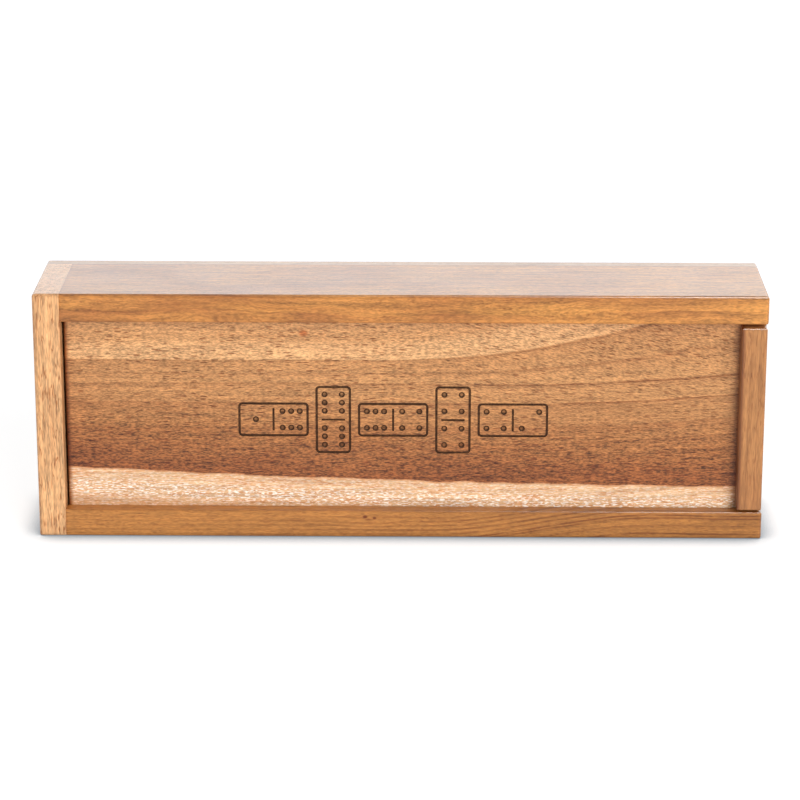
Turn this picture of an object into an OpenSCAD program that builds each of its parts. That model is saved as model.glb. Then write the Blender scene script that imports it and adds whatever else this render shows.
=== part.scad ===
// Sliding-lid wooden storage box for a set of dominoes.
//
// The box stands on one long side, as it does on a shelf: the lid faces the
// front (-Y), the base faces the back (+Y), and the lid slides out to the
// right (+X). The origin is the centre of the footprint.
//
// Two rails, a closed end and a low end make the frame. The base is planted on
// the back of the frame. The lid runs in a groove in each rail, passes in front
// of the low end, and carries a strip of wood to push or pull it by.

/* [Box] */
// Overall length, along the lid's travel
box_length = 216; // [170:1:280]
// Overall height as it stands, across both rails
box_height = 75; // [60:1:110]
// Overall depth, from the front of the rails to the back of the base
box_depth = 40.5; // [34:0.5:70]

/* [Boards] */
// Thickness of the two rails
rail_thickness = 8.4; // [7:0.1:12]
// Thickness of the closed end
closed_end_thickness = 8; // [6:0.1:12]
// Thickness of the low end
low_end_thickness = 8; // [6:0.1:12]
// Thickness of the base
base_thickness = 5; // [3:0.1:8]

/* [Lid] */
// Thickness of the lid panel
lid_thickness = 4.5; // [3:0.1:6]
// Distance from the front of the rails back to the face of the lid
lid_recess = 4.6; // [4:0.1:6]
// Depth of the groove that the lid runs in
groove_depth = 4; // [2.5:0.1:5]
// Gap between the lid and each side of its groove
lid_face_play = 0.25; // [0.15:0.05:0.5]
// Gap below the lid's lower edge, where it rests in its groove
lid_lower_play = 0.3; // [0.2:0.05:0.6]
// Gap above the lid's upper edge
lid_upper_play = 1.2; // [0.6:0.1:1.8]
// Gap between the end of the lid and the closed end
lid_end_gap = 0.6; // [0.3:0.05:1.5]

/* [Pull] */
// Width of the pull strip, along the lid's travel
pull_width = 7.5; // [5:0.1:12]
// Gap between the pull strip and the lower rail
pull_lower_play = 0.5; // [0.2:0.05:1]
// Gap between the pull strip and the upper rail
pull_upper_play = 1.2; // [0.6:0.1:1.8]
// How far the pull strip and the low end stand back from the ends of the rails
end_setback = 0.2; // [0.1:0.1:2]

/* [Rounded edges] */
// Radius of the box's four corners, seen from the front
corner_radius = 1; // [0.5:0.1:3]
// Radius of the frame's front outer edges
front_edge_radius = 1; // [0.3:0.1:1.5]
// Radius of the long back edges, where the base is sanded over
back_edge_radius = 1.2; // [0.5:0.1:2.5]
// Radius of the upright back edges, at both ends of the base
back_corner_radius = 2.4; // [0.5:0.1:3]
// Radius of the edges round the opening
opening_edge_radius = 0.5; // [0.2:0.1:1]
// Radius of the rails' inner corners beside the pull strip
rail_tip_radius = 0.8; // [0.4:0.1:2]
// Radius of the pull strip's edges
pull_edge_radius = 0.8; // [0.3:0.1:1.2]

/* [Dowels and brads] */
// Diameter of the hidden dowels
dowel_diameter = 4; // [3:0.1:5]
// Depth of a dowel's hole in the face of a board
dowel_face_depth = 4.5; // [3:0.1:5]
// Depth of a dowel's hole in the end of a board
dowel_end_depth = 10; // [6:0.5:15]
// Distance between the two dowels of a joint
dowel_spacing = 12; // [8:0.5:16]
// Diameter of the brads that hold the base
brad_diameter = 1.4; // [1:0.1:2]
// Length of the brads that hold the base
brad_length = 18; // [12:0.5:20]
// Number of brads along each rail
brads_per_rail = 5; // [3:1:8]
// Distance from the first and last brads to the ends of a rail
brad_end_distance = 22; // [16:1:35]
// Distance from a rail's inner face to the nearer brad in each end board
brad_rail_distance = 16; // [12:0.5:20]
// Diameter of the brads that hold the pull strip
pull_brad_diameter = 1.2; // [0.8:0.1:1.6]
// How far those brads reach into the pull strip
pull_brad_bite = 2.8; // [1.5:0.1:3.4]
// Distance between the pull strip's two brads
pull_brad_spacing = 34; // [20:1:40]

/* [Hidden] */
$fn = 64;

// Extra length that carries a cut clear of the surface it breaks through
overcut = 1;

// The box's outer faces
left = -box_length / 2;
right = box_length / 2;
front = -box_depth / 2;
back = box_depth / 2;

// The frame, in front of the base
frame_back = back - base_thickness;
frame_depth = frame_back - front;
rail_start = left + closed_end_thickness;
rail_length = right - rail_start;
opening_bottom = rail_thickness;
opening_top = box_height - rail_thickness;
end_face = right - end_setback;
low_end_start = end_face - low_end_thickness;

// The lid and its groove
lid_front = front + lid_recess;
lid_back = lid_front + lid_thickness;
groove_front = lid_front - lid_face_play;
groove_back = lid_back + lid_face_play;
groove_width = groove_back - groove_front;
lid_start = rail_start + lid_end_gap;
lid_bottom = opening_bottom - groove_depth + lid_lower_play;
lid_top = opening_top + groove_depth - lid_upper_play;

// The pull strip, glued to the face of the lid
pull_start = end_face - pull_width;
pull_bottom = opening_bottom + pull_lower_play;
pull_top = opening_top - pull_upper_play;

// Dowels: each joint has two, centred between the groove and the base
dowel_middle = (groove_back + frame_back) / 2;
dowel_chamfer = 0.4;
dowel_end_gap = 0.5;
rail_centre = rail_thickness / 2;

// Brads
brad_head_ratio = 1.7;
brad_head_height_ratio = 0.6;
brad_tip_ratio = 1.5;

wood_light = "BurlyWood";
wood_mid = "Peru";
wood_dark = "Sienna";
wood_pale = "Wheat";
steel = "Silver";

// What a round edge takes off one corner, at the origin and open towards +X +Y
module corner_waste(radius) {
    difference() {
        translate([-overcut, -overcut]) square(radius + overcut);
        translate([radius, radius]) circle(radius);
    }
}

// A rectangle from the origin, with its own radius at each corner. The
// corners run anticlockwise from the origin: [near, along x, far, along y]
module eased_rectangle(width, height, radii) {
    difference() {
        square([width, height]);
        if (radii[0] > 0) corner_waste(radii[0]);
        if (radii[1] > 0) translate([width, 0]) mirror([1, 0]) corner_waste(radii[1]);
        if (radii[2] > 0) translate([width, height]) rotate(180) corner_waste(radii[2]);
        if (radii[3] > 0) translate([0, height]) mirror([0, 1]) corner_waste(radii[3]);
    }
}

// Stands a profile drawn in X and Z upright, and runs it back along +Y
module run_back(depth) {
    translate([0, depth, 0]) rotate([90, 0, 0]) linear_extrude(depth) children();
}

// Stands a profile drawn in Y and Z upright, and runs it right along +X
module run_right(length) {
    rotate([90, 0, 90]) linear_extrude(length) children();
}

// A block from the origin whose edges are eased in each of the three views
module eased_block(size, front_radii, plan_radii, end_radii) {
    intersection() {
        run_back(size[1]) eased_rectangle(size[0], size[2], front_radii);
        linear_extrude(size[2]) eased_rectangle(size[0], size[1], plan_radii);
        run_right(size[0]) eased_rectangle(size[1], size[2], end_radii);
    }
}

// The whole box as it is sanded once it is glued up
module sanded_outline() {
    corner = corner_radius;
    edge = front_edge_radius;
    upright = back_corner_radius;
    long_edge = back_edge_radius;
    translate([left, front, 0])
        eased_block(
            [box_length, box_depth, box_height],
            [corner, corner, corner, corner],
            [edge, edge, upright, upright],
            [edge, long_edge, long_edge, edge]
        );
}

// A dowel along +Z whose middle, where two boards meet, is at the origin
module dowel(hole = false) {
    radius = dowel_diameter / 2;
    gap = hole ? 0 : dowel_end_gap;
    low = gap - dowel_face_depth;
    high = dowel_end_depth - gap;
    if (hole) {
        translate([0, 0, low]) cylinder(h = high - low, r = radius);
    } else {
        translate([0, 0, low]) rotate_extrude() polygon([
            [0, 0],
            [radius - dowel_chamfer, 0],
            [radius, dowel_chamfer],
            [radius, high - low - dowel_chamfer],
            [radius - dowel_chamfer, high - low],
            [0, high - low]
        ]);
    }
}

// A brad driven along -Y, with its head flush with a face at the origin
module brad(diameter, length) {
    radius = diameter / 2;
    head = radius * brad_head_ratio;
    head_height = diameter * brad_head_height_ratio;
    tip = diameter * brad_tip_ratio;
    rotate([90, 0, 0]) rotate_extrude() polygon([
        [0, 0],
        [head, 0],
        [head, head_height],
        [radius, head_height],
        [radius, length - tip],
        [0, length]
    ]);
}

// Places one joint's pair of dowels, or their holes
module dowel_pair() {
    for (side = [-1, 1])
        translate([0, dowel_middle + side * dowel_spacing / 2, 0]) children();
}

// Between the closed end and each rail
module at_closed_end_dowels() {
    for (height = [rail_centre, box_height - rail_centre])
        translate([rail_start, 0, height]) dowel_pair() rotate([0, 90, 0]) children();
}

// Between the low end and each rail
module at_low_end_dowels() {
    x = low_end_start + low_end_thickness / 2;
    translate([x, 0, opening_bottom]) dowel_pair() children();
    translate([x, 0, opening_top]) dowel_pair() mirror([0, 0, 1]) children();
}

// Along both rails, and in both ends
module at_base_brads() {
    first = rail_start + brad_end_distance;
    last = right - brad_end_distance;
    step = (last - first) / (brads_per_rail - 1);
    for (height = [rail_centre, box_height - rail_centre])
        for (i = [0 : brads_per_rail - 1])
            translate([first + i * step, back, height]) children();
    for (x = [left + closed_end_thickness / 2, low_end_start + low_end_thickness / 2])
        for (height = [opening_bottom + brad_rail_distance, opening_top - brad_rail_distance])
            translate([x, back, height]) children();
}

// From the inside of the lid into the pull strip
module at_pull_brads() {
    for (side = [-1, 1])
        translate([
            pull_start + pull_width / 2,
            lid_back,
            (pull_bottom + pull_top) / 2 + side * pull_brad_spacing / 2
        ]) children();
}

module base_brad() {
    brad(brad_diameter, brad_length);
}

module pull_brad() {
    brad(pull_brad_diameter, lid_thickness + pull_brad_bite);
}

// The rail's section in Y and Z: eased front edges, and the lid's groove
module rail_section() {
    difference() {
        eased_rectangle(frame_depth, rail_thickness, [0, 0, 0, opening_edge_radius]);
        translate([groove_front - front, rail_thickness - groove_depth])
            square([groove_width, groove_depth + overcut]);
    }
}

// The lower rail as a plain length of section, with its inner tip rounded
module rail_blank() {
    translate([rail_start, front, 0]) intersection() {
        run_right(rail_length) rail_section();
        run_back(frame_depth)
            eased_rectangle(rail_length, rail_thickness, [0, 0, rail_tip_radius, 0]);
    }
}

module lower_rail_shape() {
    difference() {
        intersection() {
            rail_blank();
            sanded_outline();
        }
        at_closed_end_dowels() dowel(hole = true);
        at_low_end_dowels() dowel(hole = true);
        at_base_brads() base_brad();
    }
}

module lower_rail() {
    color(wood_mid) lower_rail_shape();
}

// The upper rail is the lower one turned over
module upper_rail() {
    color(wood_dark)
        translate([0, 0, box_height]) mirror([0, 0, 1]) lower_rail_shape();
}

module closed_end() {
    color(wood_light) difference() {
        intersection() {
            translate([left, front, 0])
                eased_block(
                    [closed_end_thickness, frame_depth, box_height],
                    [0, 0, 0, 0],
                    [0, 0, 0, 0],
                    [0, 0, 0, 0]
                );
            sanded_outline();
        }
        at_closed_end_dowels() dowel(hole = true);
        at_base_brads() base_brad();
    }
}

module low_end() {
    height = opening_top - opening_bottom;
    depth = frame_back - groove_back;
    edge = opening_edge_radius;
    color(wood_mid) difference() {
        translate([low_end_start, groove_back, opening_bottom])
            eased_block(
                [low_end_thickness, depth, height],
                [0, 0, 0, 0],
                [edge, edge, 0, 0],
                [0, 0, 0, 0]
            );
        at_low_end_dowels() dowel(hole = true);
        at_base_brads() base_brad();
    }
}

module base_panel() {
    color(wood_pale) difference() {
        intersection() {
            translate([left, frame_back, 0]) cube([box_length, base_thickness, box_height]);
            sanded_outline();
        }
        at_base_brads() base_brad();
    }
}

module lid_panel() {
    length = end_face - lid_start;
    height = lid_top - lid_bottom;
    edge = opening_edge_radius;
    color(wood_light) difference() {
        translate([lid_start, lid_front, lid_bottom])
            eased_block(
                [length, lid_thickness, height],
                [edge, edge, edge, edge],
                [edge, 0, 0, edge],
                [0, 0, 0, 0]
            );
        at_pull_brads() pull_brad();
    }
}

module pull_strip() {
    edge = pull_edge_radius;
    color(wood_mid) difference() {
        translate([pull_start, front, pull_bottom])
            eased_block(
                [pull_width, lid_recess, pull_top - pull_bottom],
                [edge, edge, edge, edge],
                [edge, edge, 0, 0],
                [edge, 0, 0, edge]
            );
        at_pull_brads() pull_brad();
    }
}

module closed_end_dowels() {
    color(wood_pale) at_closed_end_dowels() dowel();
}

module low_end_dowels() {
    color(wood_pale) at_low_end_dowels() dowel();
}

module base_brads() {
    color(steel) at_base_brads() base_brad();
}

module pull_brads() {
    color(steel) at_pull_brads() pull_brad();
}

closed_end();
upper_rail();
lower_rail();
low_end();
base_panel();
lid_panel();
pull_strip();
closed_end_dowels();
low_end_dowels();
base_brads();
pull_brads();
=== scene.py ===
"""Finishes, carving and studio for a sliding-lid wooden box that holds a set of dominoes."""

import math

import bmesh
import bpy
from bpy.props import FloatProperty, FloatVectorProperty, PointerProperty
from mathutils import Matrix, Vector


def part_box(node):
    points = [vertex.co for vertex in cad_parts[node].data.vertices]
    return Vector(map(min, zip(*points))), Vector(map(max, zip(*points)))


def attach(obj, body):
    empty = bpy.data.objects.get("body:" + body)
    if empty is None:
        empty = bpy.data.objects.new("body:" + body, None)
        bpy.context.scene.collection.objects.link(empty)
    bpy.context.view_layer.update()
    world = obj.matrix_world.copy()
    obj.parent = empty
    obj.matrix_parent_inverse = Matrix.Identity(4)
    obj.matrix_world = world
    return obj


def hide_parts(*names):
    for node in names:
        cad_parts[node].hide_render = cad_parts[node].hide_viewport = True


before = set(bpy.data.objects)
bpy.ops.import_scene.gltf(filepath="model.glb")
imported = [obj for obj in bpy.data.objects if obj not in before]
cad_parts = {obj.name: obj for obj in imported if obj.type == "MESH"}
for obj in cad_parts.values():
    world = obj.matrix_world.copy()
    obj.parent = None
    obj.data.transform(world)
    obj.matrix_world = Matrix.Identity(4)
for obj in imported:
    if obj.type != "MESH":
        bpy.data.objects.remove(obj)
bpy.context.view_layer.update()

bl_info = {
    "name": "Domino Box",
    "version": (1, 0, 0),
    "blender": (4, 5, 0),
    "location": "View3D > Sidebar > Domino Box",
    "description": "Finishes a wooden domino box and sets it in a white studio",
    "category": "Object",
}

MM = 0.001
LID_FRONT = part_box("lid_panel")[0].y


def corners_mm(node):
    """A node's lowest and highest corners, in millimetres."""
    low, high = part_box(node)
    return low / MM, high / MM


# Properties


def colour(name, description, value):
    """A colour property that shows as a swatch."""
    return FloatVectorProperty(
        name=name, description=description, subtype="COLOR", size=3, min=0, max=1, default=value
    )


def length(name, description, value):
    """A length property, in metres."""
    return FloatProperty(name=name, description=description, unit="LENGTH", min=0, default=value, precision=5)


def share(name, description, value):
    """A property from 0 to 1."""
    return FloatProperty(name=name, description=description, subtype="FACTOR", min=0, max=1, default=value)


def power(name, description, value):
    """A light's power, in watts."""
    return FloatProperty(name=name, description=description, unit="POWER", min=0, default=value)


def amount(name, description, value):
    """A plain number that isn't below 0."""
    return FloatProperty(name=name, description=description, min=0, default=value)


class LacquerSettings(bpy.types.PropertyGroup):
    """The clear finish that every board shares"""

    roughness: share("Roughness", "Roughness of the wood under the lacquer", 0.5)
    shine: share("Shine", "Reflection of the wood under the lacquer", 0.2)
    coat: share("Coat", "Strength of the lacquer's own reflection", 0.5)
    coat_roughness: share("Coat roughness", "Roughness of the lacquer, low for gloss", 0.22)
    relief: length("Relief", "Height of the grain that shows through the lacquer", 0.00005)


class FrameSettings(bpy.types.PropertyGroup):
    """Colours of the boards that the lid slides in, and of the pull strip"""

    closed_end_light: colour("Closed end, light", "Between the closed end's streaks", (0.73, 0.405, 0.187))
    closed_end_dark: colour("Closed end, dark", "The streaks of the closed end", (0.58, 0.275, 0.110))
    # The closed end's pore tint also colours the painted shade along its edges
    closed_end_pore: colour("Closed end, pore", "Tint of a pore over the closed end", (0.58, 0.40, 0.27))
    upper_rail_light: colour("Upper rail, light", "Golden parts of the upper rail", (0.55, 0.235, 0.054))
    upper_rail_dark: colour("Upper rail, dark", "Brown parts of the upper rail", (0.33, 0.115, 0.03))
    lower_rail_light: colour("Lower rail, light", "Light parts of the lower rail", (0.46, 0.185, 0.04))
    lower_rail_dark: colour("Lower rail, dark", "Dark parts of the lower rail", (0.28, 0.105, 0.022))
    low_end_light: colour("Low end, light", "Light parts of the low end", (0.52, 0.26, 0.11))
    low_end_dark: colour("Low end, dark", "Dark parts of the low end", (0.38, 0.165, 0.065))
    base_light: colour("Base, light", "Light parts of the base", (0.56, 0.33, 0.175))
    base_dark: colour("Base, dark", "Dark parts of the base", (0.40, 0.205, 0.092))
    pull_strip_light: colour("Pull strip, light", "Light parts of the pull strip", (0.46, 0.205, 0.070))
    pull_strip_dark: colour("Pull strip, dark", "Dark parts of the pull strip", (0.34, 0.14, 0.045))
    dowel: colour("Dowel", "Bare wood of the dowels", (0.66, 0.46, 0.27))
    brad: colour("Brad", "Steel of the brads", (0.56, 0.55, 0.53))
    # The pore tint also colours the painted shade along the boards' edges and down the pull strip's left edge
    pore: colour("Pore", "Tint of an open pore over the wood", (0.40, 0.22, 0.14))


class LidSettings(bpy.types.PropertyGroup):
    """Colours of the lid, from its sapwood edge up"""

    sapwood_light: colour("Sapwood, light", "Body of the sapwood", (0.73, 0.455, 0.25))
    sapwood_dark: colour("Sapwood, dark", "Warm lines in the sapwood", (0.56, 0.225, 0.075))
    sapwood_fleck: colour("Sapwood, fleck", "Pale flecks in the sapwood", (0.98, 0.88, 0.77))
    heart_dark: colour("Heartwood, dark", "Dark band next to the sapwood", (0.255, 0.078, 0.021))
    heart_brown: colour("Heartwood, brown", "Brown middle of the lid", (0.375, 0.149, 0.045))
    heart_tan: colour("Heartwood, tan", "Tan upper half of the lid", (0.525, 0.255, 0.095))
    heart_light: colour("Heartwood, light", "Light upper edge of the lid", (0.66, 0.36, 0.158))
    # The lid's pore tint also colours the painted shade along the lid's edges
    pore: colour("Pore", "Tint of an open pore over the heartwood", (0.50, 0.37, 0.30))
    spot: colour("Spot", "Tint of a small reddish spot near the lid's upper edge", (0.78, 0.48, 0.33))
    # The corner tint is painted shade on the lid's face at its ends
    corner: colour("Corner", "Tint of the lid's face in the corners at its ends", (0.45, 0.26, 0.11))
    light_from: length("Light from", "Height at the closed end where the light upper edge begins", 0.0540)


class CarvingSettings(bpy.types.PropertyGroup):
    """The row of tiles that is carved in the lid"""

    tile_length: length("Tile length", "Long side of a carved tile", 0.0210)
    tile_width: length("Tile width", "Short side of a carved tile", 0.0106)
    gap: length("Gap", "Space between carved tiles", 0.0020)
    corner: length("Corner", "Radius of a carved tile's corners", 0.0013)
    line: length("Line", "Width of the carved outline", 0.00072)
    divider: length("Divider", "Width of the carved line across a tile", 0.00055)
    depth: length("Depth", "Depth of the carved lines", 0.00032)
    slope: length("Slope", "How far a line's walls lean in", 0.00010)
    pip: length("Pip", "Radius of a carved pip", 0.00095)
    pip_depth: length("Pip depth", "Depth of a carved pip", 0.00055)
    centre_x: length("Centre", "Middle of the row along the lid, left of the box's middle", 0.0021)
    centre_z: length("Height", "Middle of the row above the box's lower edge", 0.0355)
    scorch: colour("Scorch", "Darkened wood inside the carving", (0.045, 0.020, 0.010))


class StageSettings(bpy.types.PropertyGroup):
    """The white studio"""

    floor: colour("Floor", "Colour of the floor and the backdrop", (0.45, 0.45, 0.45))
    glow: amount("Glow", "Light that the floor itself gives off", 0.75)
    # Painted contact shadow: the floor's colour and glow close to the box
    contact_shadow: colour("Contact", "Colour of the floor close to the box", (0.12, 0.14, 0.16))
    contact_shadow_glow: colour("Contact glow", "Tint of the floor's glow close to the box", (0.27, 0.31, 0.35))
    contact_shadow_reach: length("Contact reach", "How far from the box the floor is darker", 0.010)
    surround: amount("Surround", "Strength of the white surround", 0.42)
    key: power("Key", "Power of the main soft light", 22)
    back: power("Back", "Power of the light behind", 11)
    edge: power("Edge", "Power of the light that glints on the rails' edges", 11)
    lens: FloatProperty(name="Lens", description="Focal length", unit="CAMERA", min=1, default=135.69)


# Shader nodes


class Graph:
    """Adds nodes to one tree and links them, so that a pattern reads from top to bottom."""

    def __init__(self, tree):
        self.tree = tree
        self.column = 0

    def node(self, kind, settings=None, **inputs):
        """A new node. Inputs are named as on the node, with _ for a space."""
        made = self.tree.nodes.new(kind)
        made.location = (180 * self.column, -60 * (self.column % 5))
        self.column += 1
        for name, value in (settings or {}).items():
            setattr(made, name, value)
        for name, value in inputs.items():
            self.put(value, made.inputs[name.replace("_", " ")])
        return made

    def put(self, value, socket):
        """Links a socket's value, or sets it where it is a plain number or colour."""
        if isinstance(value, bpy.types.NodeSocket):
            self.tree.links.new(value, socket)
        elif socket.type == "RGBA":
            socket.default_value = (*value[:3], 1)
        else:
            socket.default_value = value

    def math(self, operation, *values, clamp=False):
        made = self.node("ShaderNodeMath", {"operation": operation, "use_clamp": clamp})
        for value, socket in zip(values, made.inputs):
            self.put(value, socket)
        return made.outputs[0]

    def product(self, first, *others):
        """Values multiplied by each other."""
        for value in others:
            first = self.math("MULTIPLY", first, value)
        return first

    def centred(self, value, size):
        """A value from 0 to 1, spread evenly about 0 over a size."""
        return self.product(self.math("SUBTRACT", value, 0.5), size)

    def apart(self, a, b):
        """How far apart two values are."""
        return self.math("ABSOLUTE", self.math("SUBTRACT", a, b))

    def vector(self, operation, *values):
        made = self.node("ShaderNodeVectorMath", {"operation": operation})
        for value, socket in zip(values, made.inputs):
            self.put(value, socket)
        return made.outputs[0]

    def size_of(self, vector):
        """A vector's length."""
        return self.node("ShaderNodeVectorMath", {"operation": "LENGTH"}, Vector=vector).outputs["Value"]

    def split(self, vector):
        return self.node("ShaderNodeSeparateXYZ", Vector=vector).outputs

    def join(self, x, y, z):
        return self.node("ShaderNodeCombineXYZ", X=x, Y=y, Z=z).outputs[0]

    def noise(self, vector, scale, detail=2.0, roughness=0.5):
        """Noise from 0 to 1, with a scale of its own along each axis."""
        scaled = self.vector("MULTIPLY", vector, scale)
        made = self.node("ShaderNodeTexNoise", Vector=scaled, Scale=1.0, Detail=detail, Roughness=roughness)
        return made.outputs["Fac"]

    def step(self, value, low, high, start=0.0, end=1.0):
        """Smoothly from start to end as value goes from low to high."""
        made = self.node("ShaderNodeMapRange", {"interpolation_type": "SMOOTHSTEP"}, Value=value)
        for name, number in (("From Min", low), ("From Max", high), ("To Min", start), ("To Max", end)):
            self.put(number, made.inputs[name])
        return made.outputs[0]

    def mix(self, factor, a, b, blend="MIX"):
        made = self.node("ShaderNodeMix", {"data_type": "RGBA", "blend_type": blend})
        for value, index in ((factor, 0), (a, 6), (b, 7)):
            self.put(value, made.inputs[index])
        return made.outputs[2]

    def tint(self, body, mask, strength, over):
        """A colour, multiplied by another where a mask is."""
        return self.mix(self.product(mask, strength), body, over, "MULTIPLY")

    def group(self, tree, **inputs):
        """Places a node group and returns its outputs."""
        return self.node("ShaderNodeGroup", {"node_tree": tree}, **inputs).outputs


def new_group(name, inputs, outputs):
    """A node group, with its graph, inputs and outputs. A socket has a kind, or a number to start at."""
    tree = bpy.data.node_groups.new(name, "ShaderNodeTree")
    for way, sockets in (("INPUT", inputs), ("OUTPUT", outputs)):
        for title, value in sockets.items():
            kind = value if isinstance(value, str) else "Float"
            socket = tree.interface.new_socket(title, in_out=way, socket_type="NodeSocket" + kind)
            if kind != value:
                socket.default_value = value
    graph = Graph(tree)
    given = graph.node("NodeGroupInput").outputs
    result = graph.node("NodeGroupOutput").inputs
    return tree, graph, given, result


def grain_group():
    """Growth rings along X, stacked along Z, that rise, fan out and bend round a knot. Lengths are in mm."""
    tree, graph, given, result = new_group(
        "Wood Grain",
        {
            "Vector": "Vector",
            "Ring Width": 5.0,
            "Rise": 0.0,
            "Rise Start": 0.0,
            "Rise Length": 100.0,
            "Fan": 0.0,
            "Fan Start": 0.0,
            "Fan Height": 0.0,
            "Waviness": 1.0,
            "Tilt": 0.35,
            "Knot Place": "Vector",
            "Knot Size": 0.01,
        },
        {
            "Vector": "Vector", "Height": "Float", "Ring": "Float", "Line": "Float", "Drift": "Float",
            "Streak": "Float",
        },
    )
    wave_height = 6.0
    ripple_height = 0.9
    uneven_widths = 1.6
    fade_across_ring = 1.8
    line_from, line_to = 0.05, 0.32
    x, y, z = graph.split(given["Vector"])
    along = graph.math("SUBTRACT", x, given["Rise Start"])
    risen = graph.step(graph.math("DIVIDE", along, given["Rise Length"]), 0.0, 1.0)
    wave = graph.centred(graph.noise(given["Vector"], (0.016, 0.06, 0.06)), given["Waviness"])
    ripple = graph.centred(graph.noise(given["Vector"], (0.09, 0.2, 0.2)), given["Waviness"])
    waved = graph.math("MULTIPLY_ADD", wave, wave_height, z)
    waved = graph.math("MULTIPLY_ADD", ripple, ripple_height, waved)
    graph.put(graph.join(x, y, waved), result["Vector"])
    height = graph.math("SUBTRACT", waved, graph.product(risen, given["Rise"]))
    height = graph.math("MULTIPLY_ADD", y, given["Tilt"], height)
    along = graph.math("MAXIMUM", graph.math("SUBTRACT", x, given["Fan Start"]), 0.0)
    spread = graph.math("MULTIPLY_ADD", graph.product(along, along), given["Fan"], 1.0)
    over = graph.math("SUBTRACT", height, given["Fan Height"])
    drawn_in = graph.product(over, graph.math("SUBTRACT", 1.0, graph.math("DIVIDE", 1.0, spread)))
    height = graph.math("SUBTRACT", height, graph.math("MAXIMUM", drawn_in, 0.0))

    knot_shape = (0.3, 0.3, 1.0)
    from_knot = graph.vector("SUBTRACT", given["Vector"], given["Knot Place"])
    from_knot = graph.vector("MULTIPLY", from_knot, knot_shape)
    away = graph.math("DIVIDE", graph.size_of(from_knot), given["Knot Size"])
    pushed = graph.step(away, 0.0, 1.0, 0.75, 0.0)
    height = graph.math("SUBTRACT", height, graph.product(pushed, graph.split(from_knot)[2]))
    graph.put(height, result["Height"])

    uneven = graph.noise(graph.join(7.3, 0.0, height), (1.0, 1.0, 0.09), detail=1)
    count = graph.math("DIVIDE", height, given["Ring Width"])
    count = graph.math("MULTIPLY_ADD", uneven, uneven_widths, count)
    ring = graph.math("FRACT", count)
    graph.put(graph.math("POWER", ring, fade_across_ring), result["Ring"])
    nearest = graph.math("MINIMUM", ring, graph.math("SUBTRACT", 1.0, ring))
    nearest = graph.product(nearest, given["Ring Width"])
    line = graph.step(nearest, line_from, line_to, 1.0, 0.0)
    broken = graph.noise(graph.join(x, 0.0, graph.math("FLOOR", count)), (0.12, 1.0, 1.0))
    graph.put(graph.product(line, graph.step(broken, 0.38, 0.6, 0.1, 1.0)), result["Line"])
    drift = graph.noise(graph.join(x, 3.0, height), (0.03, 1.0, 0.14))
    graph.put(graph.step(drift, 0.3, 0.7), result["Drift"])
    streak = graph.noise(graph.join(x, y, height), (0.022, 1.0, 0.75), detail=3)
    graph.put(graph.step(streak, 0.25, 0.75, -1.0, 1.0), result["Streak"])
    return tree


def pores_group():
    """Open pores, as short dashes along X that are dots on end grain, with fibres and threads."""
    tree, graph, given, result = new_group(
        "Wood Pores",
        {
            "Vector": "Vector",
            "Length": 2.4,
            "Width": 0.45,
            "Amount": 0.6,
            "Fibre Length": 2.0,
        },
        {"Pores": "Float", "Fibre": "Float", "Threads": "Float"},
    )
    dash_from, dash_to = 0.18, 0.32
    extra_size = 0.14
    fine_share = 0.55
    ridge_from, ridge_to = 0.008, 0.038
    patches = graph.noise(given["Vector"], (0.03, 0.12, 0.12))
    wanted = graph.product(given["Amount"], graph.step(patches, 0.3, 0.7, 0.4, 1.6))
    size = graph.join(given["Length"], given["Width"], given["Width"])
    cells = graph.node(
        "ShaderNodeTexVoronoi",
        {"voronoi_dimensions": "3D", "feature": "F1"},
        Vector=graph.vector("DIVIDE", given["Vector"], size),
        Scale=1.0,
        Randomness=1.0,
    ).outputs
    cell = graph.split(cells["Color"])
    chance, reach = cell[0], cell[1]
    far = graph.math("SUBTRACT", cells["Distance"], graph.product(reach, extra_size))
    dash = graph.step(far, dash_from, dash_to, 1.0, 0.0)
    kept = graph.step(graph.math("SUBTRACT", chance, wanted), -0.3, 0.0, 1.0, 0.0)
    graph.put(graph.product(dash, kept), result["Pores"])

    fibres = graph.vector("DIVIDE", given["Vector"], graph.join(given["Fibre Length"], 1.0, 1.0))
    coarse = graph.step(graph.noise(fibres, (0.4, 1.2, 1.2), roughness=0.6), 0.3, 0.7)
    fine = graph.step(graph.noise(fibres, (1.4, 3.0, 3.0), detail=1, roughness=0.6), 0.38, 0.62)
    coarse = graph.product(coarse, 1 - fine_share)
    graph.put(graph.math("MULTIPLY_ADD", fine, fine_share, coarse), result["Fibre"])

    ridge = graph.apart(graph.noise(given["Vector"], (0.1, 1.1, 1.1)), 0.5)
    broken = graph.step(graph.noise(given["Vector"], (0.22, 0.5, 0.5), detail=1), 0.42, 0.58)
    thread = graph.step(ridge, ridge_from, ridge_to, 1.0, 0.0)
    graph.put(graph.product(thread, broken), result["Threads"])
    return tree


def edge_shade_group():
    """How near a point on a board is to one of the board's edges, in millimetres; it masks the painted shade
    along the edges.
    """
    tree, graph, given, result = new_group(
        "Edge Shade",
        {
            "Vector": "Vector",
            "Low Corner": "Vector",
            "High Corner": "Vector",
            "Width": 0.8,
        },
        {"Edge": "Float"},
    )
    from_low = graph.vector("SUBTRACT", given["Vector"], given["Low Corner"])
    from_high = graph.vector("SUBTRACT", given["High Corner"], given["Vector"])
    x, y, z = graph.split(graph.vector("MINIMUM", from_low, from_high))
    lower = graph.math("MINIMUM", x, y)
    upper = graph.math("MAXIMUM", x, y)
    second = graph.math("MAXIMUM", lower, graph.math("MINIMUM", upper, z))
    graph.put(graph.step(second, 0.0, given["Width"], 1.0, 0.0), result["Edge"])
    return tree


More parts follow.
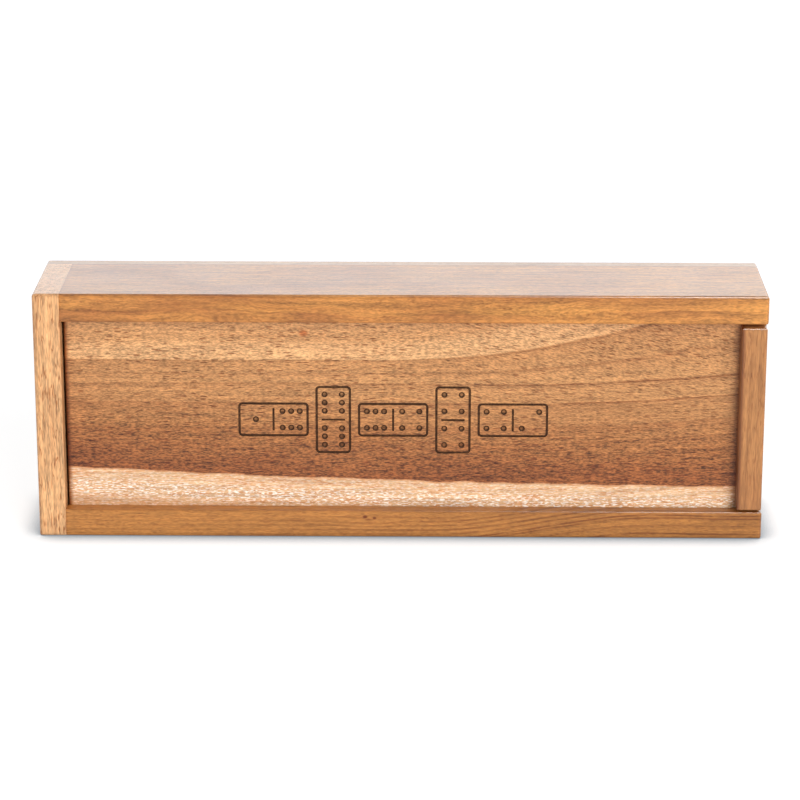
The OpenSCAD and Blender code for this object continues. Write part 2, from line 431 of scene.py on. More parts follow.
def lacquer_group():
    """Uneven lacquer: patches that are a little more or less glossy, and faint rubbing marks."""
    tree, graph, given, result = new_group(
        "Satin Lacquer",
        {"Vector": "Vector", "Roughness": 0.5, "Spread": 0.16},
        {"Roughness": "Float"},
    )
    patches = graph.noise(given["Vector"], (0.05, 0.09, 0.09), detail=3)
    rubbing = graph.noise(given["Vector"], (0.25, 4.0, 4.0))
    rubbing_share = 0.5
    average = 0.5 + rubbing_share * 0.5
    uneven = graph.math("ADD", patches, graph.product(rubbing, rubbing_share))
    offset = graph.product(graph.math("SUBTRACT", uneven, average), given["Spread"])
    graph.put(graph.math("ADD", given["Roughness"], offset, clamp=True), result["Roughness"])
    return tree


def board_group():
    """A whole board: two body colours, and over them its rings, growth lines, fibres, pores and the painted
    shade along its edges.
    """
    tree, graph, given, result = new_group(
        "Board Wood",
        {
            "Place": "Vector",
            "Low Corner": "Vector",
            "High Corner": "Vector",
            "Grain Vector": "Vector",
            "Grain Ring": 0.0,
            "Grain Line": 0.0,
            "Grain Drift": 0.5,
            "Grain Streak": 0.0,
            "Light": "Color",
            "Dark": "Color",
            "Pore": "Color",
            "Ring Strength": 0.4,
            "Line Strength": 0.5,
            "Drift Strength": 0.5,
            "Streak Strength": 0.08,
            "Lengthwise": 0.0,
            "Fibre Strength": 0.35,
            "Fibre Length": 2.5,
            "Pore Strength": 0.6,
            "Pore Length": 2.4,
            "Pore Width": 0.45,
            "Pore Amount": 0.6,
            "Thread Strength": 0.3,
            "Edge Strength": 0.25,
            "Edge Width": 0.8,
        },
        {"Color": "Color", "Height": "Float"},
    )
    pores = graph.group(
        shared_group("Wood Pores"),
        Vector=given["Grain Vector"],
        Length=given["Pore Length"],
        Width=given["Pore Width"],
        Amount=given["Pore Amount"],
        Fibre_Length=given["Fibre Length"],
    )
    edge = graph.group(
        shared_group("Edge Shade"),
        Vector=given["Place"],
        Low_Corner=given["Low Corner"],
        High_Corner=given["High Corner"],
        Width=given["Edge Width"],
    )["Edge"]
    tone = graph.product(given["Grain Ring"], given["Ring Strength"])
    tone = graph.math("MULTIPLY_ADD", given["Grain Drift"], given["Drift Strength"], tone)
    tone = graph.math("MULTIPLY_ADD", graph.split(given["Place"])[0], given["Lengthwise"], tone)
    body = graph.mix(tone, given["Light"], given["Dark"])
    contrast = graph.centred(pores["Fibre"], given["Fibre Strength"])
    contrast = graph.math("MULTIPLY_ADD", given["Grain Streak"], given["Streak Strength"], contrast)
    shade = graph.math("ADD", contrast, 1.0)
    body = graph.mix(1.0, body, graph.join(shade, shade, shade), "MULTIPLY")
    tints = [
        (given["Grain Line"], "Line Strength"),
        (pores["Pores"], "Pore Strength"),
        (pores["Threads"], "Thread Strength"),
        # Painted shade along the board's edges, in the pore tint
        (edge, "Edge Strength"),
    ]
    for mask, strength in tints:
        body = graph.tint(body, mask, given[strength], given["Pore"])
    graph.put(body, result["Color"])
    pore_height = -1.0
    fibre_height = 0.3
    sunk = graph.product(pores["Pores"], pore_height)
    graph.put(graph.math("MULTIPLY_ADD", pores["Fibre"], fibre_height, sunk), result["Height"])
    return tree


GROUP_MAKERS = {
    "Wood Grain": grain_group,
    "Wood Pores": pores_group,
    "Edge Shade": edge_shade_group,
    "Satin Lacquer": lacquer_group,
    "Board Wood": board_group,
}


def shared_group(name):
    """A shared node group, made the first time that it is asked for."""
    return bpy.data.node_groups.get(name) or GROUP_MAKERS[name]()


def new_material(name):
    """A material with a Principled BSDF, its graph and the object's own coordinates in millimetres."""
    material = bpy.data.materials.new(name)
    material.use_nodes = True
    tree = material.node_tree
    tree.nodes.clear()
    graph = Graph(tree)
    place = graph.node("ShaderNodeTexCoord").outputs["Object"]
    place = graph.vector("MULTIPLY", place, (1 / MM, 1 / MM, 1 / MM))
    shader = graph.node("ShaderNodeBsdfPrincipled")
    output = graph.node("ShaderNodeOutputMaterial")
    graph.put(shader.outputs[0], output.inputs["Surface"])
    return material, graph, place, shader.inputs


def grain_of(graph, place, upright=False, shift=(0, 0, 0), **shape):
    """The grain of one board, turned upright where the board stands, and where it is in its log."""
    turned = graph.node(
        "ShaderNodeMapping",
        Vector=place,
        Location=shift,
        Rotation=(0, math.pi / 2 if upright else 0, 0),
    ).outputs[0]
    return graph.group(shared_group("Wood Grain"), Vector=turned, **shape)


def board_of(graph, place, node, grain, light, dark, pore, **look):
    """The colour and the relief of one board."""
    low, high = corners_mm(node)
    for name in ("Vector", "Ring", "Line", "Drift", "Streak"):
        look["Grain_" + name] = grain[name]
    return graph.group(
        shared_group("Board Wood"),
        Place=place,
        Low_Corner=low,
        High_Corner=high,
        Light=light,
        Dark=dark,
        Pore=pore,
        **look,
    )


def marks_and_shade(graph, place, body, places, over):
    """Small dark spots, or painted shade where one is long and thin: each has a place on X and Z, a length, a
    height and a strength.
    """
    for across, up, long, high, strength in places:
        offset = graph.vector("SUBTRACT", place, (across, 0, up))
        away = graph.size_of(graph.vector("MULTIPLY", offset, (2 / long, 0, 2 / high)))
        body = graph.mix(graph.step(away, 0.4, 1.2, strength, 0.0), body, over, "MULTIPLY")
    return body


def finish(graph, shader, place, body, height, carved=None):
    """Feeds a wood's colour and relief to the shader, under a coat of satin lacquer."""
    scorched_rougher = 0.3
    settings = bpy.context.scene.domino_box_lacquer
    lacquer = graph.group(shared_group("Satin Lacquer"), Vector=place, Roughness=settings.roughness)
    roughness = lacquer["Roughness"]
    shader["Coat Weight"].default_value = settings.coat
    if carved is not None:
        body = graph.mix(carved, body, bpy.context.scene.domino_box_carving.scorch)
        roughness = graph.math("MULTIPLY_ADD", carved, scorched_rougher, roughness)
        graph.put(graph.math("MULTIPLY_ADD", carved, -settings.coat, settings.coat), shader["Coat Weight"])
    bump = graph.node("ShaderNodeBump", Strength=1.0, Distance=settings.relief, Height=height)
    graph.put(body, shader["Base Color"])
    graph.put(roughness, shader["Roughness"])
    graph.put(bump.outputs[0], shader["Normal"])
    shader["Coat Roughness"].default_value = settings.coat_roughness
    shader["Specular IOR Level"].default_value = settings.shine


# Each growth line: its height in mm, its strength, the darker tone below it, and how far that reaches in mm
LID_LINES = [
    (54.0, 0.6, 0.35, 8.0),
    (49.85, 0.5, 0.25, 2.5),
    (46.7, 1.0, 0.45, 3.0),
    (40.8, 0.9, 0.5, 4.0),
    (33.3, 0.3, 0.5, 5.0),
    (28.2, 0.35, 0.4, 4.0),
    (24.0, 0.3, 0.3, 3.0),
]
LOWER_RAIL_LINES = [
    (-6.0, 0.8, 0.35, 1.6),
    (-3.4, 0.35, 0.3, 1.2),
    (-1.1, 0.7, 0.3, 1.2),
    (-0.3, 0.85, 0.3, 0.6),
    (1.2, 0.5, 0.3, 1.0),
    (2.5, 0.6, 0.3, 0.9),
    (3.9, 0.4, 0.3, 0.9),
    (5.2, 0.5, 0.3, 0.8),
    (6.5, 0.4, 0.2, 0.8),
]


def growth_lines(graph, place, grain, lines, faint_from, clear_from):
    """A board's own growth lines: each a thin dark line, with a darker tone that fades below it."""
    faintest = 0.4
    broken_to = 0.3
    offset, half_core, half_width = 0.2, 0.1, 0.42
    x = graph.split(place)[0]
    clear = graph.step(x, faint_from, clear_from, faintest, 1.0)
    line, tone = 0.0, 0.0
    for number, (level, strength, shade, reach) in enumerate(lines):
        below = graph.math("SUBTRACT", level, grain["Height"])
        broken = graph.noise(graph.join(x, 0.0, number * 3.7), (0.1, 1.0, 1.0))
        seen = graph.step(broken, 0.34, 0.54, broken_to * strength, strength)
        near = graph.step(graph.apart(below, offset), half_core, half_width, 1.0, 0.0)
        line = graph.math("MAXIMUM", line, graph.product(seen, clear, near))
        shaded = graph.product(graph.step(below, 0.0, 0.25), graph.step(below, 0.3, reach, shade, 0.0))
        tone = graph.math("ADD", tone, shaded)
    drawn = {name: grain[name] for name in ("Vector", "Drift", "Streak")}
    drawn.update(Ring=tone, Line=line)
    return drawn


def sapwood_edge(graph, place):
    """Height above the curved line where the lid's sapwood ends, in millimetres."""
    middle_height = 16.6
    fall = -0.027
    bend = 0.000131
    wobble = 1.4
    tilt = 0.3
    x, y, z = graph.split(place)
    curve = graph.math("MULTIPLY_ADD", x, bend, fall)
    edge = graph.math("MULTIPLY_ADD", curve, x, middle_height)
    uneven = graph.noise(place, (0.09, 0.1, 0.1), detail=3)
    edge = graph.math("ADD", graph.centred(uneven, wobble), edge)
    edge = graph.math("MULTIPLY_ADD", y, tilt, edge)
    edge = graph.math("SUBTRACT", edge, tilt * LID_FRONT / MM)
    return graph.math("SUBTRACT", z, edge)


def carved_mask(graph, place):
    """Where the lid is carved: inside the row of tiles and below the lid's face."""
    carving = bpy.context.scene.domino_box_carving
    margin = 1.0
    behind_face = 1.0
    half_row = row_widths(carving)[1] / MM / 2 + margin
    half_height = carving.tile_length / MM / 2 + margin
    x, y, z = graph.split(place)
    depth = graph.math("SUBTRACT", y, LID_FRONT / MM)
    deep = graph.step(depth, 0.03, 0.1)
    bottom = graph.step(depth, carving.depth / MM + 0.04, carving.pip_depth / MM, 1.0, 0.45)
    inside = graph.product(
        graph.math("LESS_THAN", graph.apart(x, -carving.centre_x / MM), half_row),
        graph.math("LESS_THAN", graph.apart(z, carving.centre_z / MM), half_height),
        graph.math("LESS_THAN", depth, behind_face),
    )
    burn = graph.step(graph.noise(place, (1.2, 1.2, 1.2), detail=3), 0.3, 0.7, 0.86, 1.0)
    return graph.product(deep, bottom, inside, burn)


def heartwood(graph, above, grain):
    """The heartwood's two colours, dark next to the sapwood and light at the top. Heights are in mm."""
    settings = bpy.context.scene.domino_box_lid
    height = graph.math("ADD", above, graph.centred(grain["Drift"], 4.0))
    level = settings.light_from / MM
    body = graph.mix(graph.step(height, 0.0, 17.0), settings.heart_dark, settings.heart_brown)
    body = graph.mix(graph.step(height, 9.0, 34.0), body, settings.heart_tan)
    lighter = graph.step(grain["Height"], level - 0.2, level + 0.3)
    body = graph.mix(lighter, body, settings.heart_light)
    tan_again = graph.step(grain["Height"], level + 3.5, level + 7.0, 0.0, 0.75)
    body = graph.mix(tan_again, body, settings.heart_tan)
    return body, graph.mix(0.6, body, settings.heart_dark)


def sapwood(graph, place, above):
    """The sapwood's colour: pale, with warm lines and flecks, and orange along its lowest few millimetres."""
    settings = bpy.context.scene.domino_box_lid
    fine = graph.noise(place, (0.07, 1.5, 1.5), roughness=0.6)
    warm = graph.step(graph.apart(fine, 0.5), 0.01, 0.055, 1.0, 0.0)
    warm = graph.math("MAXIMUM", warm, graph.step(above, -7.0, -12.0, 0.0, 0.45))
    body = graph.mix(graph.product(warm, 0.8), settings.sapwood_light, settings.sapwood_dark)
    flecks = graph.noise(place, (0.6, 3.0, 3.0), detail=1, roughness=0.7)
    low_down = graph.step(graph.apart(above, -6.0), 0.5, 4.0, 1.0, 0.35)
    flecked = graph.product(graph.step(flecks, 0.51, 0.59), low_down)
    body = graph.mix(flecked, body, settings.sapwood_fleck)
    near_heart = graph.step(above, -0.8, 0.0)
    return graph.mix(graph.product(near_heart, 0.7), body, settings.sapwood_dark)


def lid_corner_shade(graph, place):
    """Painted shade on the lid's face in the two corners: by the closed end, and on both sides of the pull
    strip.
    """
    x = graph.split(place)[0]
    lid_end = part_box("lid_panel")[0].x / MM
    pull_low, pull_high = corners_mm("pull_strip")
    end_shade = graph.step(x, lid_end + 0.2, lid_end + 1.8, 0.9, 0.0)
    pull_shade = graph.product(
        graph.step(x, pull_low.x - 2.2, pull_low.x + 0.6, 0.0, 0.85),
        graph.step(x, pull_high.x - 1.4, pull_high.x - 0.6, 1.0, 0.0),
    )
    return graph.math("MAXIMUM", end_shade, pull_shade)


def lid_material():
    """The lid's wood: pale sapwood along its lower edge, then dark heartwood that lightens upwards."""
    settings = bpy.context.scene.domino_box_lid
    material, graph, place, shader = new_material("Lid wood")
    grain = grain_of(
        graph, place, shift=(0, -LID_FRONT / MM, 0), Rise=8.5, Rise_Start=30.0, Rise_Length=160.0,
        Fan=0.0002, Fan_Start=-10.0, Fan_Height=46.7, Waviness=0.3,
    )
    above = sapwood_edge(graph, place)
    in_heart = graph.step(above, -0.2, 0.25)
    heart, darker = heartwood(graph, above, grain)
    pale = sapwood(graph, place, above)
    light = graph.mix(in_heart, pale, heart)
    dark = graph.mix(in_heart, pale, darker)

    x, _, z = graph.split(place)
    across, depth, up = graph.split(grain["Vector"])
    slant_from, slope = 15.0, 0.2
    past = graph.math("MAXIMUM", graph.math("SUBTRACT", x, slant_from), 0.0)
    slant = graph.product(past, slope, graph.step(z, 30.0, 52.0))
    leaning = graph.join(across, depth, graph.math("ADD", up, slant))
    rings = growth_lines(graph, place, grain, LID_LINES, faint_from=-30.0, clear_from=60.0)
    rings.update(Vector=leaning, Line=graph.product(rings["Line"], in_heart))
    rougher = graph.step(above, 2.0, 28.0, 1.1, 0.6)
    board = board_of(
        graph, place, "lid_panel", rings, light, dark, settings.pore,
        Ring_Strength=0.8, Line_Strength=0.85, Drift_Strength=0.2, Streak_Strength=0.16,
        Fibre_Strength=graph.math("MULTIPLY_ADD", in_heart, rougher, 0.3), Fibre_Length=1.7,
        Pore_Strength=graph.math("MULTIPLY_ADD", in_heart, 0.92, 0.08), Pore_Length=2.8, Pore_Width=0.46,
        Pore_Amount=0.6, Thread_Strength=graph.product(in_heart, graph.step(above, 3.0, 30.0, 1.0, 0.35)),
        # Painted shade along the lid's edges, wide and strong
        Edge_Strength=0.6, Edge_Width=1.4,
    )
    body = marks_and_shade(graph, place, board["Color"], [(-28.6, 62.2, 3.0, 2.4, 1.0)], settings.spot)
    # Painted shade in the lid's corners, by the closed end and about the pull strip
    body = graph.mix(lid_corner_shade(graph, place), body, settings.corner, "MULTIPLY")
    finish(graph, shader, place, body, board["Height"], carved_mask(graph, place))
    return material


def plain_wood_material():
    """Bare wood of a dowel, with its grain along it."""
    settings = bpy.context.scene.domino_box_frame
    material, graph, place, shader = new_material("Dowel wood")
    fibre = graph.noise(place, (1.2, 3.0, 1.2), detail=3)
    dark = [channel * 0.7 for channel in settings.dowel]
    graph.put(graph.mix(graph.step(fibre, 0.3, 0.7), settings.dowel, dark), shader["Base Color"])
    shader["Roughness"].default_value = 0.75
    return material


def steel_material():
    """Bright drawn wire, with fine smears where it was drawn."""
    settings = bpy.context.scene.domino_box_frame
    material, graph, place, shader = new_material("Brad steel")
    smear = graph.noise(place, (2.5, 2.5, 2.5), detail=4)
    dull = [channel * 0.55 for channel in settings.brad]
    graph.put(graph.mix(graph.step(smear, 0.35, 0.7), settings.brad, dull), shader["Base Color"])
    graph.put(graph.step(smear, 0.3, 0.7, 0.28, 0.5), shader["Roughness"])
    shader["Metallic"].default_value = 1.0
    return material


def dress(node, material):
    """Gives a CAD node its material."""
    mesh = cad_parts[node].data
    mesh.materials.clear()
    mesh.materials.append(material)


def dress_board(node, grain, look, tone=None, dark_marks_and_shade=(), lines=(), pore=None):
    """Gives a board its wood. The tone, or else the node, is what its two colours' properties begin with."""
    colours = bpy.context.scene.domino_box_frame
    tone = tone or node
    material, graph, place, shader = new_material(tone.replace("_", " ").capitalize() + " wood")
    rings = grain_of(graph, place, **grain)
    if lines:
        rings = growth_lines(graph, place, rings, lines, faint_from=-60.0, clear_from=15.0)
    light = getattr(colours, tone + "_light")
    dark = getattr(colours, tone + "_dark")
    pore = pore or colours.pore
    board = board_of(graph, place, node, rings, light, dark, pore, **look)
    body = marks_and_shade(graph, place, board["Color"], dark_marks_and_shade, pore)
    finish(graph, shader, place, body, board["Height"])
    dress(node, material)


# Carving

PIP_PLACES = {
    1: [(0, 0)],
    2: [(-1, -1), (1, 1)],
    4: [(-1, -1), (1, 1), (-1, 1), (1, -1)],
    6: [(-1, -1), (1, 1), (-1, 1), (1, -1), (0, -1), (0, 1)],
}
ROW = [(1, 6), (6, 6), (6, 4), (4, 4), (4, 2)]
PIP_SPACING = 0.56
DIVIDER_MARGIN = 2.5
CUTTER_START = 0.0003
SHARP_ANGLE = math.radians(35)


def upright_face(mesh, width, height, front):
    """A flat rectangle that faces the front, centred on X and Z."""
    grid = bmesh.ops.create_grid(mesh, x_segments=1, y_segments=1, size=0.5)
    turn = Matrix.Translation((0, front, 0)) @ Matrix.Rotation(math.radians(90), 4, "X")
    bmesh.ops.transform(mesh, matrix=turn @ Matrix.Diagonal((width, height, 1, 1)), verts=grid["verts"])
    return grid["verts"]


def sink(mesh, faces, carving):
    """Turns flat faces in front of the lid into a cutter whose walls lean in as they go down."""
    walls = bmesh.ops.extrude_face_region(mesh, geom=faces)["geom"]
    floor = [part for part in walls if isinstance(part, bmesh.types.BMFace)]
    verts = [part for part in walls if isinstance(part, bmesh.types.BMVert)]
    bmesh.ops.translate(mesh, vec=(0, CUTTER_START, 0), verts=verts)
    bmesh.ops.inset_region(mesh, faces=floor, thickness=carving.slope, use_even_offset=True)
    verts = list({vert for face in floor for vert in face.verts})
    bmesh.ops.translate(mesh, vec=(0, carving.depth, 0), verts=verts)


def mesh_object(name, mesh):
    """A mesh object from a bmesh, with its faces turned outwards."""
    bmesh.ops.recalc_face_normals(mesh, faces=mesh.faces)
    data = bpy.data.meshes.new(name)
    mesh.to_mesh(data)
    mesh.free()
    made = bpy.data.objects.new(name, data)
    bpy.context.scene.collection.objects.link(made)
    return made


def row_widths(carving):
    """How wide each tile of the row is, and how wide the row is in all. A tile with equal counts stands."""
    widths = [carving.tile_width if a == b else carving.tile_length for a, b in ROW]
    return widths, sum(widths) + carving.gap * (len(ROW) - 1)


def row_of_tiles(carving):
    """Each tile's centre along the row, whether it stands upright, and its two counts."""
    widths, whole = row_widths(carving)
    start = -whole / 2
    tiles = []
    for width, (a, b) in zip(widths, ROW):
        tiles.append((start + width / 2 - carving.centre_x, a == b, (a, b)))
        start += width + carving.gap
    return tiles


def carve_tile(mesh, carving, centre, upright, counts):
    """Adds the cutters of one tile: its outline, its dividing line and its pips."""
    start = LID_FRONT - CUTTER_START
    size = (carving.tile_length, carving.tile_width)
    part = bmesh.new()
    upright_face(part, *size, start)
    bmesh.ops.bevel(
        part, geom=part.verts[:], offset=carving.corner, affect="VERTICES", segments=8, profile=0.5,
        material=-1,
    )
    inner = list(part.faces)
    ring = bmesh.ops.inset_region(
        part, faces=inner, thickness=carving.line, use_even_offset=True, use_boundary=True
    )["faces"]
    bmesh.ops.delete(part, geom=inner, context="FACES_ONLY")
    sink(part, ring, carving)
    divider_length = size[1] - 2 * DIVIDER_MARGIN * carving.line
    line = upright_face(part, carving.divider + carving.slope, divider_length, start)
    sink(part, list({face for vert in line for face in vert.link_faces}), carving)

    curve = (carving.pip**2 + carving.pip_depth**2) / (2 * carving.pip_depth)
    step = (size[1] / 2 - carving.line) * PIP_SPACING
    for side, count in zip((-1, 1), counts):
        for along, across in PIP_PLACES[count]:
            place = (side * size[0] / 4 + along * step, LID_FRONT - curve + carving.pip_depth, across * step)
            turn = Matrix.Translation(place) @ Matrix.Rotation(math.radians(90), 4, "X")
            bmesh.ops.create_uvsphere(part, u_segments=32, v_segments=24, radius=curve, matrix=turn)

    turn = Matrix.Translation((centre, 0, carving.centre_z))
    if upright:
        turn = turn @ Matrix.Rotation(math.radians(90), 4, "Y")
    bmesh.ops.transform(part, matrix=turn, verts=part.verts)
    data = bpy.data.meshes.new("tile")
    part.to_mesh(data)
    part.free()
    mesh.from_mesh(data)
    bpy.data.meshes.remove(data)


def sharpen(data):
    """Shades a mesh smooth, with a hard edge wherever two faces meet at more than the sharp angle."""
    mesh = bmesh.new()
    mesh.from_mesh(data)
    for face in mesh.faces:
        face.smooth = True
    for edge in mesh.edges:
        edge.smooth = len(edge.link_faces) == 2 and edge.calc_face_angle() < SHARP_ANGLE
    mesh.to_mesh(data)
    mesh.free()


def carved_lid():
    """A copy of the lid panel with the row of tiles cut into its face."""
    carving = bpy.context.scene.domino_box_carving
    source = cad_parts["lid_panel"]
    lid = bpy.data.objects.new("lid_panel_carved", source.data.copy())
    bpy.context.scene.collection.objects.link(lid)
    mesh = bmesh.new()
    mesh.from_mesh(lid.data)
    bmesh.ops.remove_doubles(mesh, verts=mesh.verts, dist=1e-6)
    mesh.to_mesh(lid.data)
    mesh.free()

    cutters = bmesh.new()
    for tile in row_of_tiles(carving):
        carve_tile(cutters, carving, *tile)
    cutter = mesh_object("carving cutter", cutters)
    cut = lid.modifiers.new("Carving", "BOOLEAN")
    cut.operation = "DIFFERENCE"
    cut.solver = "EXACT"
    cut.object = cutter
    graph = bpy.context.evaluated_depsgraph_get()
    carved = bpy.data.meshes.new_from_object(lid.evaluated_get(graph))
    lid.modifiers.clear()
    lid.data = carved
    carved.name = "lid_panel_carved"
    bpy.data.objects.remove(cutter)
    sharpen(carved)
    return lid


# Operators


class DOMINO_BOX_OT_frame(bpy.types.Operator):
    """Finish the closed end, the rails, the low end and the base"""

    bl_idname = "domino_box.frame"
    bl_label = "Finish the frame"

    def execute(self, context):
        dress_board(
            "closed_end",
            dict(upright=True, shift=(40, 0, 5), Ring_Width=4.2, Rise=0.0, Waviness=0.5),
            dict(Pore_Length=7.0, Pore_Width=0.6, Pore_Amount=0.35, Pore_Strength=0.6, Fibre_Strength=0.62,
                 Fibre_Length=3.5, Line_Strength=0.15, Drift_Strength=0.3, Streak_Strength=0.2,
                 Thread_Strength=0.95),
            pore=context.scene.domino_box_frame.closed_end_pore,
        )
        dress_board(
            "upper_rail",
            dict(shift=(0, 30, -8), Ring_Width=5.0, Waviness=1.4),
            dict(Pore_Length=1.2, Pore_Width=0.5, Pore_Amount=0.4, Pore_Strength=0.3, Line_Strength=0.2,
                 Fibre_Strength=0.6, Fibre_Length=2.2, Drift_Strength=0.6, Ring_Strength=0.3,
                 Lengthwise=-0.0022, Streak_Strength=0.2),
            dark_marks_and_shade=[
                (30.5, 71.2, 1.3, 0.5, 0.8), (32.3, 71.1, 1.3, 0.5, 0.6), (-50, 72.2, 40, 2.6, 0.22),
                (-30, 71.0, 30, 2.0, 0.22), (-78, 70.0, 30, 1.6, 0.15), (62, 68.0, 34, 1.8, 0.12),
            ],
        )
        dress_board(
            "lower_rail",
            dict(shift=(0, -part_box("lower_rail")[0].y / MM, 0), Rise=8.0, Rise_Start=10.0, Rise_Length=65.0,
                 Waviness=0.3, Knot_Place=(-9, 0, 6.2), Knot_Size=4.0),
            dict(Pore_Length=1.6, Pore_Width=0.5, Pore_Amount=0.4, Pore_Strength=0.3, Line_Strength=0.85,
                 Fibre_Strength=0.46, Fibre_Length=3.0, Drift_Strength=0.35, Ring_Strength=0.7,
                 Lengthwise=0.003, Streak_Strength=0.1),
            dark_marks_and_shade=[
                (-10.4, 6.5, 1.7, 1.2, 1.0), (-7.6, 6.1, 1.3, 1.0, 0.9), (-9.6, 5.6, 2.4, 0.6, 0.6),
            ],
            lines=LOWER_RAIL_LINES,
        )
        dress_board(
            "low_end",
            dict(upright=True, shift=(10, 40, 31), Ring_Width=4.0),
            dict(Pore_Strength=0.4, Line_Strength=0.2),
        )
        dress_board(
            "base_panel",
            dict(shift=(20, 15, 3), Ring_Width=7.0, Rise=14.0, Rise_Start=-60.0, Rise_Length=160.0,
                 Waviness=1.2),
            dict(Pore_Strength=0.45, Line_Strength=0.4),
            tone="base",
        )
        return {"FINISHED"}


class DOMINO_BOX_OT_lid(bpy.types.Operator):
    """Carve the lid panel and finish it"""

    bl_idname = "domino_box.lid"
    bl_label = "Carve the lid"

    def execute(self, context):
        lid = carved_lid()
        lid.data.materials.clear()
        lid.data.materials.append(lid_material())
        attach(lid, "lid")
        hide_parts("lid_panel")
        return {"FINISHED"}


class DOMINO_BOX_OT_pull(bpy.types.Operator):
    """Finish the pull strip"""

    bl_idname = "domino_box.pull"
    bl_label = "Finish the pull strip"

    def execute(self, context):
        dress_board(
            "pull_strip",
            dict(upright=True, shift=(60, 20, 50), Ring_Width=2.8, Waviness=0.4),
            dict(Pore_Length=3.0, Pore_Width=0.5, Pore_Amount=0.35, Pore_Strength=0.4, Line_Strength=0.2,
                 Fibre_Strength=0.4, Fibre_Length=5.0, Streak_Strength=0.1, Thread_Strength=0.35),
            # The first mark darkens the strip towards its lower end; the second is painted shade down the
            # strip's left edge
            dark_marks_and_shade=[(104, 9, 30, 34, 0.22), (100.3, 37, 2.4, 400, 0.65)],
        )
        return {"FINISHED"}


class DOMINO_BOX_OT_fixings(bpy.types.Operator):
    """Finish the dowels and the brads"""

    bl_idname = "domino_box.fixings"
    bl_label = "Finish the fixings"

    def execute(self, context):
        bare_wood = plain_wood_material()
        steel = steel_material()
        for node in ("closed_end_dowels", "low_end_dowels"):
            dress(node, bare_wood)
        for node in ("base_brads", "pull_brads"):
            dress(node, steel)
        return {"FINISHED"}


def soft_light(name, place, target, size, watts, tint=(1, 1, 1)):
    """A rectangular area light that faces a point."""
    data = bpy.data.lights.new(name, "AREA")
    data.shape = "RECTANGLE"
    data.size, data.size_y = size
    data.energy = watts
    data.color = tint
    light = bpy.data.objects.new(name, data)
    light.location = place
    light.rotation_mode = "QUATERNION"
    light.rotation_quaternion = (Vector(target) - Vector(place)).to_track_quat("-Z", "Y")
    bpy.context.scene.collection.objects.link(light)
    return light


def studio_lights(settings):
    """A large soft light at the front right, one behind, and a thin one above for the rails' edges."""
    box_middle = (0, 0, 0.037)
    box_top = (0, 0, 0.075)
    top_right = (0.1, 0, 0.075)
    key = soft_light("key light", (0.75, -1.35, 0.65), box_middle, (1.1, 1.1), settings.key)
    key.visible_glossy = False
    soft_light("back light", (0.0, 1.9, 0.62), box_top, (2.2, 0.9), settings.back, (0.93, 0.97, 1.0))
    edge = soft_light("edge light", (0.22, -0.28, 1.035), top_right, (0.16, 0.5), settings.edge)
    edge.visible_diffuse = False


def studio_floor(settings):
    """A white sweep: a floor that curves up into a backdrop far behind the box, with a painted contact shadow
    close to the box.
    """
    near, far, half_width, rise, radius = -3.0, 4.5, 5.0, 3.0, 1.2
    mesh = bmesh.new()
    grid = bmesh.ops.create_grid(mesh, x_segments=1, y_segments=1, size=0.5)
    spread = Matrix.Diagonal((half_width * 2, far - near, 1, 1))
    spread = Matrix.Translation((0, (near + far) / 2, 0)) @ spread
    bmesh.ops.transform(mesh, matrix=spread, verts=grid["verts"])
    edge = [e for e in mesh.edges if all(abs(v.co.y - far) < 1e-6 for v in e.verts)]
    bmesh.ops.spin(
        mesh, geom=edge, cent=(0, far, radius), axis=(1, 0, 0), angle=math.radians(90), steps=16,
        use_merge=False,
    )
    edge = [e for e in mesh.edges if all(abs(v.co.z - radius) < 1e-4 for v in e.verts)]
    wall = bmesh.ops.extrude_edge_only(mesh, edges=edge)["geom"]
    verts = [part for part in wall if isinstance(part, bmesh.types.BMVert)]
    bmesh.ops.translate(mesh, vec=(0, 0, rise), verts=verts)
    floor = mesh_object("floor", mesh)
    for polygon in floor.data.polygons:
        polygon.use_smooth = True

    material, graph, _, shader = new_material("White sweep")
    # Painted contact shadow: near the box the floor's colour and glow darken with how hidden it is
    occlusion = graph.node("ShaderNodeAmbientOcclusion", {"samples": 8}, Distance=settings.contact_shadow_reach)
    free = graph.step(occlusion.outputs["AO"], 0.35, 1.0)
    graph.put(graph.mix(free, settings.contact_shadow, settings.floor), shader["Base Color"])
    graph.put(graph.mix(free, settings.contact_shadow_glow, (1, 1, 1)), shader["Emission Color"])
    shader["Roughness"].default_value = 1.0
    shader["Specular IOR Level"].default_value = 0.0
    shader["Emission Strength"].default_value = settings.glow
    floor.data.materials.append(material)


def photograph_camera(lens):
    """The camera, where it stood for the photograph."""
    place = Vector((9.991, -871.058, 306.080)) * MM
    pitch_down = math.radians(17.174)
    turn = math.radians(0.6727)
    roll = math.radians(0.0416)
    forward = Vector((
        -math.sin(turn) * math.cos(pitch_down), math.cos(turn) * math.cos(pitch_down), -math.sin(pitch_down)
    ))
    across = Vector((math.cos(turn), math.sin(turn), 0))
    up = across.cross(forward)
    side = across * math.cos(roll) + up * math.sin(roll)
    top = up * math.cos(roll) - across * math.sin(roll)
    data = bpy.data.cameras.new("camera")
    data.lens = lens
    data.sensor_width = 36
    data.sensor_fit = "HORIZONTAL"
    data.clip_start, data.clip_end = 0.01, 50
    camera = bpy.data.objects.new("camera", data)
    camera.matrix_world = Matrix.Translation(place) @ Matrix((side, top, -forward)).transposed().to_4x4()
    bpy.context.scene.collection.objects.link(camera)
    bpy.context.scene.camera = camera


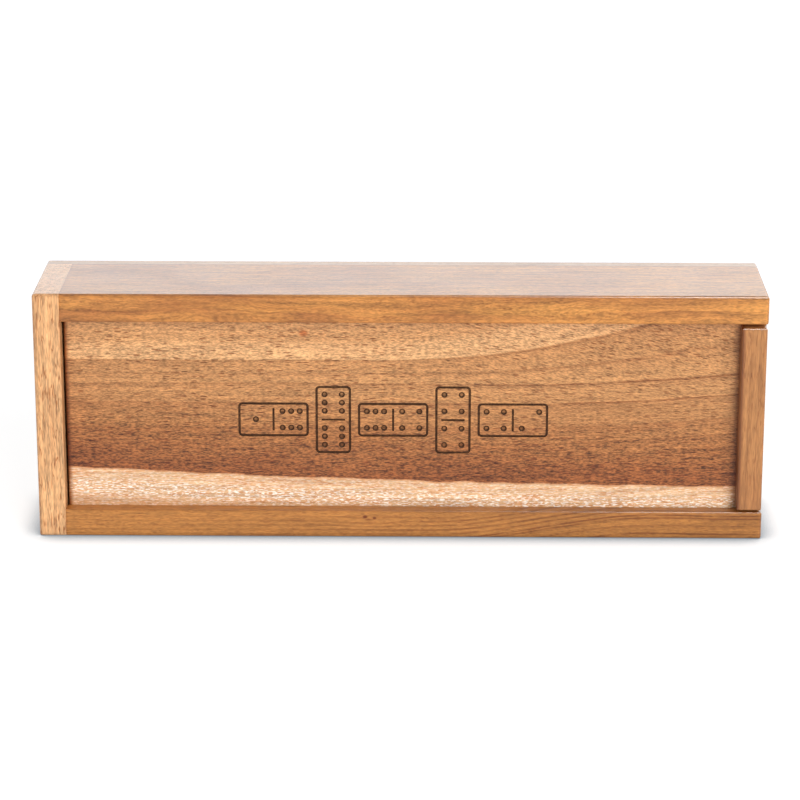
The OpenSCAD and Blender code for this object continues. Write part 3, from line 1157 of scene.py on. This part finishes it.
class DOMINO_BOX_OT_stage(bpy.types.Operator):
    """Set up the white studio, its lights and the camera"""

    bl_idname = "domino_box.stage"
    bl_label = "Set up the studio"

    def execute(self, context):
        settings = context.scene.domino_box_stage
        context.scene.view_settings.view_transform = "Standard"
        world = bpy.data.worlds.new("White surround")
        world.use_nodes = True
        background = world.node_tree.nodes["Background"]
        background.inputs["Color"].default_value = (1, 1, 1, 1)
        background.inputs["Strength"].default_value = settings.surround
        context.scene.world = world
        studio_floor(settings)
        studio_lights(settings)
        photograph_camera(settings.lens)
        return {"FINISHED"}


class DOMINO_BOX_PT_panel(bpy.types.Panel):
    """Lists the settings and the steps that finish the box"""

    bl_label = "Domino Box"
    bl_idname = "DOMINO_BOX_PT_panel"
    bl_space_type = "VIEW_3D"
    bl_region_type = "UI"
    bl_category = "Domino Box"

    def draw(self, context):
        for name in SETTINGS:
            group = getattr(context.scene, name)
            box = self.layout.box()
            for field in group.bl_rna.properties.keys():
                if field not in ("rna_type", "name"):
                    box.prop(group, field)
        for operator in OPERATORS:
            self.layout.operator(operator.bl_idname)


SETTINGS = {
    "domino_box_lacquer": LacquerSettings,
    "domino_box_frame": FrameSettings,
    "domino_box_lid": LidSettings,
    "domino_box_carving": CarvingSettings,
    "domino_box_stage": StageSettings,
}
OPERATORS = [
    DOMINO_BOX_OT_frame,
    DOMINO_BOX_OT_lid,
    DOMINO_BOX_OT_pull,
    DOMINO_BOX_OT_fixings,
    DOMINO_BOX_OT_stage,
]


def register():
    for settings in SETTINGS.values():
        bpy.utils.register_class(settings)
    for name, settings in SETTINGS.items():
        setattr(bpy.types.Scene, name, PointerProperty(type=settings))
    for operator in OPERATORS:
        bpy.utils.register_class(operator)
    bpy.utils.register_class(DOMINO_BOX_PT_panel)


def unregister():
    bpy.utils.unregister_class(DOMINO_BOX_PT_panel)
    for operator in reversed(OPERATORS):
        bpy.utils.unregister_class(operator)
    for name, settings in reversed(SETTINGS.items()):
        delattr(bpy.types.Scene, name)
        bpy.utils.unregister_class(settings)


def main():
    register()
    bpy.ops.domino_box.stage()
    bpy.ops.domino_box.frame()
    bpy.ops.domino_box.lid()
    bpy.ops.domino_box.pull()
    bpy.ops.domino_box.fixings()


if __name__ == "__main__":
    main()
